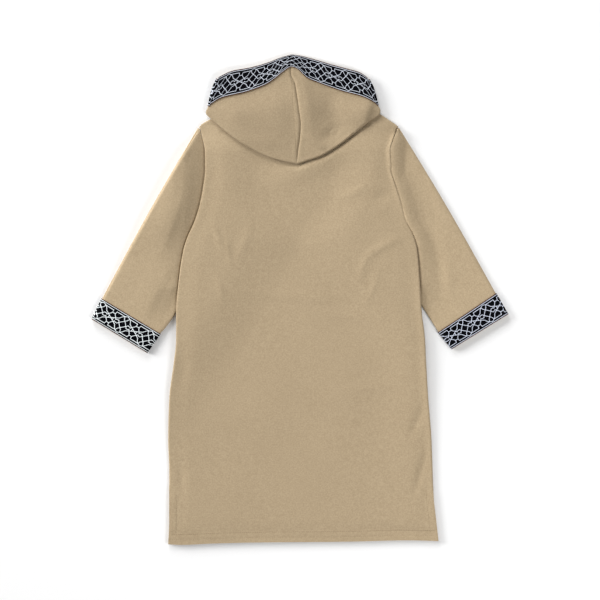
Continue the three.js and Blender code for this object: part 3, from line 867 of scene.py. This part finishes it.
# The shares of a sleeve's width over which its upper layer rises from the outer and the inner fold,
# and from the inner fold near the cuff.
OUTER_ROUND = 0.014
INNER_ROUND = 0.02
INNER_ROUND_LOW = 0.4
SLEEVE_BOW = 2.5
CUFF_FILL = 0.15
# The sleeves' undersides repeat the creases above, lower and a little shifted.
UNDER_CREASES = {"share": 0.45, "shift": (14, -20), "highest": 0.9}
ARM_ROWS = 104
CUFF_ROWS = 12
ACROSS_SLEEVE = 84
FOLD_TURNS = np.radians([67.5, 45, 22.5, 0, -22.5, -45, -67.5])
# The trim's two faces, as distances from the middle surface of the cloth under it.
TRIM_WALL = (HALF_CLOTH + SEAM, HALF_CLOTH + SEAM + TRIM)


def head_bend(side, y):
    """The sleeve head follows the body's edge from the shoulder, then runs straight under the body."""
    sign = side["sign"]
    shoulder_x, shoulder_y = side["shoulder"]
    underarm_x, underarm_y = side["inner"][0]
    straight = blend(underarm_x, shoulder_x, (y - underarm_y) / (shoulder_y - underarm_y))
    edge = look_up(BODY_EDGES, side_column(sign), y) + sign * HEAD_GAP
    return sign * np.minimum(0, sign * (edge - straight))


def sleeve_ring(side, name, outer, inner, share):
    """One flattened turn round the sleeve, from the outer fold over the top and back underneath."""
    lift = TRIM_BED * smooth(share, 0.8, 1)
    bend_share = (1 - share) ** 6
    across = (inner - outer) / np.linalg.norm(inner - outer)
    inset = HALF_CLOTH + FOLD_RADIUS
    start = outer + across * inset
    end = inner - across * inset
    middle = lift + SLEEVE_STACK / 2
    shares = spread(ACROSS_SLEEVE)[:, None]
    plan = start + (end - start) * shares
    flat_x, flat_y = plan[:, 0] + bend_share * head_bend(side, plan[:, 1]), plan[:, 1]
    from_outer, from_inner = shares[:, 0], 1 - shares[:, 0]
    from_body = side["sign"] * (flat_x - look_up(BODY_EDGES, side_column(side["sign"]), flat_y))
    fill = SLEEVE_FILL[name]
    high = look_up(np.array(fill["high"]), 1, from_body + fill["skip"] * smooth(flat_y, 100, 125))
    low = look_up(np.array(fill["low"]), 1, from_body)
    filled = blend(low, high, smooth(flat_y, *fill["change"])) * blend(1, CUFF_FILL, smooth(share, 0.75, 1))
    filled = filled * smooth(from_inner, 0, blend(INNER_ROUND, INNER_ROUND_LOW, smooth(share, 0.5, 0.8)))
    fade = smooth(from_outer, 0, OUTER_ROUND) * smooth(from_inner, 0, INNER_ROUND)
    creases = crease_height(SLEEVE_CREASES[name], flat_x, flat_y)
    loft = fade * np.maximum(0, filled + 0.3 * smooth(from_body, 0, 3) + creases * smooth(from_body, 0, 8))
    shift_x, shift_y = UNDER_CREASES["shift"]
    hidden = crease_height(SLEEVE_CREASES[name], flat_x + shift_x, flat_y + shift_y)
    below = fade * np.clip(UNDER_CREASES["share"] * hidden, 0, UNDER_CREASES["highest"])
    top = np.stack([flat_x, flat_y, middle + FOLD_RADIUS + np.maximum(loft, below - 0.4)], axis=1)
    under = np.stack([flat_x, flat_y, middle - FOLD_RADIUS + below], axis=1)

    def fold(centre, way, turns):
        reach = centre + across * way * FOLD_RADIUS * np.cos(turns)[:, None]
        return np.column_stack([reach, middle + FOLD_RADIUS * np.sin(turns)])

    loop = np.vstack([top, fold(end, 1, FOLD_TURNS), under[::-1], fold(start, -1, FOLD_TURNS[::-1])])
    return np.vstack([loop, loop[:1]])


def sleeve(name):
    side = SIDES[name]
    shares = spread(ARM_ROWS)
    outer_way = np.array(side["band_top"]) - side["shoulder"]
    bow_way = side["sign"] * np.array([-outer_way[1], outer_way[0]]) / np.hypot(*outer_way)
    bow = SLEEVE_BOW * np.sin(np.pi * shares)[:, None] * bow_way
    outer = np.array(side["shoulder"]) + outer_way * shares[:, None] + bow
    inner = walk(side["inner"], shares)
    arm = [sleeve_ring(side, name, outer[row], inner[row], share) for row, share in enumerate(shares)]
    cuff = []
    for share in spread(CUFF_ROWS):
        cuff_outer = blend(np.array(side["band_top"]), np.array(side["cuff_outer"]), share)
        cuff_inner = blend(np.array(side["inner"][-1], float), np.array(side["cuff_inner"]), share)
        cuff.append(sleeve_ring(side, name, cuff_outer, cuff_inner, 1))
    cuff[0] = arm[-1]
    cuff = np.array(cuff)
    around = lengths_along(cuff[CUFF_ROWS // 2]) + HALF_CLOTH + FOLD_RADIUS - side["cuff_phase"]
    across = TRIM_WIDTH * (1 - spread(CUFF_ROWS))
    chart = chart_of(around, across)
    chart[..., 0] += side["cuff_skew"] * (chart[..., 1] - TRIM_WIDTH / 2)

    def outside(centres):
        ways = np.zeros_like(centres)
        ways[:, 2] = centres[:, 2] - SLEEVE_STACK / 2 - TRIM_BED / 2
        return ways

    cloth = Cloth()
    cloth.add_grid(np.array(arm), "arm", outside)
    cloth.add_grid(cuff, "cuff", outside, chart=chart)
    arm_piece = cloth.wall(f"sleeve_{name}_cloth", FLEECE["sleeve"], "fleece")
    trim_piece = cloth.wall(f"cuff_trim_{name}", WOVEN[f"cuff_{name}"], "woven_trim", *TRIM_WALL, tag="cuff")
    return arm_piece, trim_piece


# ---------------- hood
HOOD_COLUMNS = 60
HOOD_ROWS = 40
BAND_ROWS = 12
NECK_COLUMNS = 21
THROAT_ROWS = 30
RIM_TURNS = np.radians(np.linspace(90, -90, 13))
# Heights of the cloth's middle: of the layer that shows, at the peak and where the trim ends on
# the centre seam, and of the lip at the face edge.
PEAK_HEIGHT = 3
CROWN_HEIGHT = 7.5
LIP_HEIGHT = 3.2
# How far the rim drops from the corner to the face edge, and the lip where it joins the neck.
RIM_DROP = 1.6
LIP_DROP = 0.6
NAPE_Y = 302
# Points this near to the centre seam belong to it.
AT_SEAM = 0.02
# How far the hood's lower fold stands off the back, from the tip to the corner.
RIM_RISE = {
    "left": np.array([(0, 0.2), (0.16, 1.2), (0.4, 2.0), (0.8, 1.2), (1, 0)]),
    "right": np.array([(0, 0.2), (0.2, 1.4), (0.45, 2.0), (0.7, 1.8), (1, 0.5)]),
}


def spine_x(y, sign):
    return look_up(SPINE, 1, y) + sign * HALF_SEAM


def hood_rise(x, y):
    """Creases, the pressed centre seam and a little unevenness on the hood's upper layer."""
    from_seam = np.abs(x - look_up(SPINE, 1, y))
    seam = -2.2 * bell(from_seam, 0, 1.0) + 0.3 * bell(from_seam, 5, 3)
    return crease_height(HOOD_CREASES, x, y) + seam + wave_height(HOOD_WAVES, x, y)


def from_seam_shares():
    """Shares from the centre seam to the side, closer together at the seam."""
    return spread(HOOD_COLUMNS) ** 1.5


def hood_rim(side, name):
    """The silhouette where the hood turns under itself, from the tip round the corner to the face edge."""
    sign = side["sign"]
    fold = walk(side["fold"], from_seam_shares())
    corner = walk(side["corner"], spread(HOOD_ROWS))[::-1]
    wrap = walk(side["wrap"], spread(BAND_ROWS))[::-1]
    outline = np.vstack([fold, corner[1:], wrap[1:]])
    tangent = np.zeros_like(outline)
    tangent[1:-1] = outline[2:] - outline[:-2]
    tangent[0], tangent[-1] = outline[1] - outline[0], outline[-1] - outline[-2]
    tangent /= np.linalg.norm(tangent, axis=1)[:, None]
    out = np.column_stack([sign * tangent[:, 1], -sign * tangent[:, 0]])
    out[0] = (0, -1)
    plan = outline - out * (HALF_CLOTH + HOOD_FOLD_RADIUS)
    plan[0, 0] += sign * HALF_SEAM
    index = np.arange(len(outline))
    past = np.maximum(0, index - HOOD_COLUMNS) / (len(outline) - 1 - HOOD_COLUMNS)
    fold_share = np.concatenate([from_seam_shares(), np.ones(len(outline) - 1 - HOOD_COLUMNS)])
    low = hidden_hood_height(plan[:, 0], plan[:, 1]) - RIM_DROP * past
    low += look_up(RIM_RISE[name], 1, fold_share) * (1 - past)
    reach = HOOD_FOLD_RADIUS * np.cos(RIM_TURNS)[None, :, None]
    spots = plan[:, None, :] + out[:, None, :] * reach
    heights = low[:, None] + HOOD_FOLD_RADIUS * (1 + np.sin(RIM_TURNS))[None, :]
    return np.concatenate([spots, heights[:, :, None]], axis=2)


def hood_half(name):
    side = SIDES[name]
    sign = side["sign"]
    cloth = Cloth()
    rim = hood_rim(side, name)
    top, bottom = rim[:, 0], rim[:, -1]
    last_row = BAND_ROWS + HOOD_ROWS

    def side_index(row):
        return HOOD_COLUMNS + last_row - row

    # The layer that shows: the trim's bed, then on to the fold.
    shares = from_seam_shares()
    face = walk(side["face"], shares)
    band_inner = walk(side["band_inner"], shares)
    fold = walk(side["fold"], shares)
    face_height = blend(PEAK_HEIGHT, top[side_index(0), 2], smooth(shares, 0, 1))
    inner_height = blend(CROWN_HEIGHT, top[side_index(BAND_ROWS), 2], shares)
    fold_height = top[: HOOD_COLUMNS + 1, 2]
    showing = np.zeros((last_row + 1, HOOD_COLUMNS + 1, 3))
    for row in range(last_row + 1):
        band_share = min(1, row / BAND_ROWS)
        down = max(0, row - BAND_ROWS) / HOOD_ROWS
        if row < BAND_ROWS:
            plan = blend(face, band_inner, band_share)
            edge = blend(face_height, inner_height, band_share)
        else:
            plan = blend(band_inner, fold, down)
            edge = blend(inner_height, fold_height, down)
        plan[0, 0] = spine_x(plan[0, 1], sign)
        behind_band = 0.38 * smooth(band_share, 0.2, 1) * (1 - down) ** 6
        crown = behind_band + smooth(down, 0, 0.4) * smooth(1 - down, 0, 0.75)
        fade = smooth(band_share, 0.3, 1) * smooth(1 - down, 0, 0.12) * smooth(1 - shares, 0, 0.1)
        rise = fade * hood_rise(plan[:, 0], plan[:, 1]) + HOOD_CROWN * crown * (1 - shares**3)
        showing[row] = np.column_stack([plan, edge + rise])
        showing[row, -1] = top[side_index(row)]
    showing[-1] = top[: HOOD_COLUMNS + 1]
    middle_length = lengths_along(showing[BAND_ROWS // 2]) - side["hood_phase"]
    width = TRIM_WIDTH * spread(BAND_ROWS)
    chart = chart_of(middle_length, width)
    cloth.add_grid(showing[: BAND_ROWS + 1], "band", facing(0, 0, 1), chart=chart)
    cloth.add_grid(showing[BAND_ROWS:], "hood", facing(0, 0, 1))

    # The turned edge: plain along the fold and the corner, with trim where the face edge wraps under.
    wrap_start = side_index(BAND_ROWS)
    turned_length = middle_length[-1] + HOOD_FOLD_RADIUS * (np.pi / 2 - RIM_TURNS)
    chart = chart_of(turned_length, width[::-1])
    cloth.add_grid(rim[: wrap_start + 1], "hood", facing(sign, -1, 0))
    cloth.add_grid(rim[wrap_start:], "band", facing(sign, 0, 0), chart=chart)

    # The hidden layer, from the neckline and the lip to the fold.
    neck_point = NECK["left"] if sign < 0 else NECK["right"]
    lip_columns = HOOD_COLUMNS - NECK_COLUMNS - 1
    lip_seam = walk([side["lip_neck"], side["band_inner"][-1]], spread(lip_columns))
    neck_x = blend(NECK["middle"], neck_point, np.arange(NECK_COLUMNS + 1) / NECK_COLUMNS)
    neck_x[0] = spine_x(NAPE_Y, sign)
    neck_line = np.column_stack([neck_x, look_up(BODY_TOP, 1, neck_x)])
    far_plan = np.vstack([neck_line, lip_seam])
    far_height = hidden_hood_height(far_plan[:, 0], far_plan[:, 1])
    far_height[NECK_COLUMNS + 1 :] -= LIP_DROP
    far = np.column_stack([far_plan, far_height])
    far[-1] = bottom[wrap_start]
    near = bottom[: HOOD_COLUMNS + 1]
    far_above = far[:, 2] - hidden_hood_height(far[:, 0], far[:, 1])
    near_above = near[:, 2] - hidden_hood_height(near[:, 0], near[:, 1])
    hidden = np.zeros((HOOD_ROWS + 1, HOOD_COLUMNS + 1, 3))
    for row, share in enumerate(spread(HOOD_ROWS)):
        plan = blend(far[:, :2], near[:, :2], share)
        plan[0, 0] = spine_x(plan[0, 1], sign)
        height = hidden_hood_height(plan[:, 0], plan[:, 1]) + blend(far_above, near_above, share)
        hidden[row] = np.column_stack([plan, height])
        hidden[row, -1] = bottom[side_index(BAND_ROWS + row)]
    hidden[0] = far
    hidden[-1] = near
    cloth.add_grid(hidden, "hood", facing(0, 0, -1))

    # The lip beyond the shoulder line, under the trim's wrapped stretch.
    lip_shares = spread(lip_columns)
    lip_face = walk(side["lip_face"], lip_shares)
    lip_end = bottom[side_index(0)]
    lip_near = far[NECK_COLUMNS + 1 :]
    lip = np.zeros((BAND_ROWS + 1, lip_columns + 1, 3))
    for row, share in enumerate(spread(BAND_ROWS)):
        plan = blend(lip_near[:, :2], lip_face, share)
        height = blend(lip_near[:, 2], blend(LIP_HEIGHT, lip_end[2], lip_shares), share)
        lip[row] = np.column_stack([plan, height])
        lip[row, -1] = bottom[side_index(BAND_ROWS - row)]
    lip[0] = lip_near
    lip_length = turned_length[-1] + lengths_along(lip[BAND_ROWS // 2][::-1])[::-1]
    chart = chart_of(lip_length, width[::-1])
    cloth.add_grid(lip, "band", facing(0, 0, -1), chart=chart)

    # The hood's front end, in the neck hole under the back panel, down to the throat.
    seam_line = walk(side["throat_seam"], spread(THROAT_ROWS))
    face_line = walk(side["throat_face"], spread(THROAT_ROWS))
    throat_height = HALF_CLOTH + TRIM_BED
    throat = [lip[:, 0]]
    for seam_spot, face_spot in zip(seam_line, face_line):
        plan = seam_spot + (face_spot - seam_spot) * spread(BAND_ROWS)[:, None]
        throat.append(np.column_stack([plan, np.full(BAND_ROWS + 1, throat_height)]))
    throat = np.array(throat)
    throat_length = lip_length[0] + lengths_along(throat[:, BAND_ROWS // 2])
    chart = chart_of(width[::-1], throat_length)[..., ::-1]
    cloth.add_grid(throat, "band", facing(0, 0, -1), chart=chart)

    def seam_test(places):
        return np.abs(places[:, 0] - spine_x(places[:, 1], sign)) < AT_SEAM

    hood_piece = cloth.wall(f"hood_{name}_cloth", FLEECE["hood"], "fleece", seam_test=seam_test)
    trim_piece = cloth.wall(
        f"hood_trim_{name}", WOVEN["hood"], "woven_trim", *TRIM_WALL, tag="band", seam_test=seam_test
    )
    return hood_piece, trim_piece


# ---------------- stitches
def one_stitch(length, thick):
    bpy.ops.mesh.primitive_uv_sphere_add(segments=6, ring_count=4, radius=1, location=(0, 0, 0))
    bpy.ops.object.mode_set(mode="EDIT")
    bpy.ops.mesh.select_all(action="SELECT")
    bpy.ops.transform.resize(value=(length / 2, thick / 2, thick / 2))
    bpy.ops.object.mode_set(mode="OBJECT")
    stitch = bpy.context.active_object
    spots = np.array([vertex.co[:] for vertex in stitch.data.vertices])
    faces = [list(face.vertices) for face in stitch.data.polygons]
    bpy.data.objects.remove(stitch, do_unlink=True)
    return spots, faces


STITCH = one_stitch(STITCH_LENGTH, STITCH_THICKNESS)


def stitch_row(name, places, ways):
    """A row of stitches as one mesh: each stitch lies at its place and points its way."""
    stitch_spots, stitch_faces = STITCH
    spots = []
    faces = []
    for place, way in zip(places, ways):
        cos, sin = way
        turn = np.array([(cos, -sin, 0), (sin, cos, 0), (0, 0, 1)])
        faces += [[corner + len(spots) for corner in face] for face in stitch_faces]
        spots += list(stitch_spots @ turn.T + place)
    mesh = bpy.data.meshes.new(name)
    mesh.from_pydata((np.array(spots) * METRE).tolist(), [], faces)
    piece = make_piece(name, mesh, THREAD, smooth_below=math.pi)
    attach(piece, "root")
    return piece


def on_back(x, y):
    """Places on the back panel's upper surface, where the stitches stand out a little."""
    surface = body_lift(x, y) + CLOTH + LAYER_RISE + back_rise(x, y)
    return np.column_stack([x, y, surface + STITCH_STAND])


def hem_row(name, above):
    edges = [(look_up(BODY_EDGES, side_column(sign), HEM_ROW_Y), sign) for sign in (-1, 1)]
    left, right = (edge - sign * HEM_ROW_INSET for edge, sign in edges)
    x = np.arange(left, right, STITCH_PITCH)
    y = look_up(HEM, 1, x) + above
    slope = np.gradient(y, x)
    length = np.hypot(1, slope)
    return stitch_row(name, on_back(x, y), np.column_stack([1 / length, slope / length]))


def slit_row(name, sign):
    y = np.arange(SLIT_ROW_TOP, SLIT_ROW_LOW, -STITCH_PITCH)
    x = look_up(BODY_EDGES, side_column(sign), y) - sign * SLIT_DEPTH
    slope = np.gradient(x, y)
    length = np.hypot(1, slope)
    return stitch_row(name, on_back(x, y), np.column_stack([slope / length, 1 / length]))


# ---------------- the robe
front = body_panel("front")
back = body_panel("back")
shown = {"front": front, "back": back}
for side_name in SIDES:
    shown[f"sleeve_{side_name}"], shown[f"cuff_band_{side_name}"] = sleeve(side_name)
    shown[f"hood_{side_name}"], shown[f"hood_band_{side_name}"] = hood_half(side_name)
for node, piece in shown.items():
    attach(piece, "root")
    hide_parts(node)

hem_stitches = [hem_row(name, above) for name, above in HEM_ROWS.items()]
slit_stitches = [slit_row("slit_stitches_left", -1), slit_row("slit_stitches_right", 1)]

# ---------------- floor, light and camera
bpy.ops.mesh.primitive_plane_add(size=8, location=(0, 0, -0.0003))
floor = bpy.context.active_object
floor.name = "floor"
floor.data.materials.append(PALE_FLOOR)


def area_light(name, place, size, power):
    bpy.ops.object.light_add(type="AREA", location=place)
    lamp = bpy.context.active_object
    lamp.name = name
    lamp.data.shape = "DISK"
    lamp.data.size = size
    lamp.data.energy = power
    lamp.rotation_mode = "QUATERNION"
    lamp.rotation_quaternion = (-lamp.location).to_track_quat("-Z", "Y")
    lamp.visible_camera = False
    return lamp


area_light("left_key_light", (-4.35, 1.58, 1.59), 2.7, 300)
area_light("upper_key_light", (-1.0, 3.1, 1.32), 2.4, 94)
area_light("fill_light", (1.1, -0.8, 1.3), 1.0, 17.5)

world = bpy.data.worlds.new("studio")
world.use_nodes = True
world.node_tree.nodes["Background"].inputs["Color"].default_value = (1, 1, 1, 1)
world.node_tree.nodes["Background"].inputs["Strength"].default_value = 0.25
bpy.context.scene.world = world

# The camera looks straight down and takes in a width of 0.93 m at a distance of 3 m.
SENSOR_WIDTH = 36
VIEW_WIDTH = 0.930
VIEW_DISTANCE = 3.0
bpy.ops.object.camera_add(location=(0, -0.0005, 3.008), rotation=(0, 0, 0))
camera = bpy.context.active_object
camera.data.sensor_width = SENSOR_WIDTH
camera.data.lens = SENSOR_WIDTH * VIEW_DISTANCE / VIEW_WIDTH
bpy.context.scene.camera = camera
bpy.context.scene.view_settings.view_transform = "Standard"
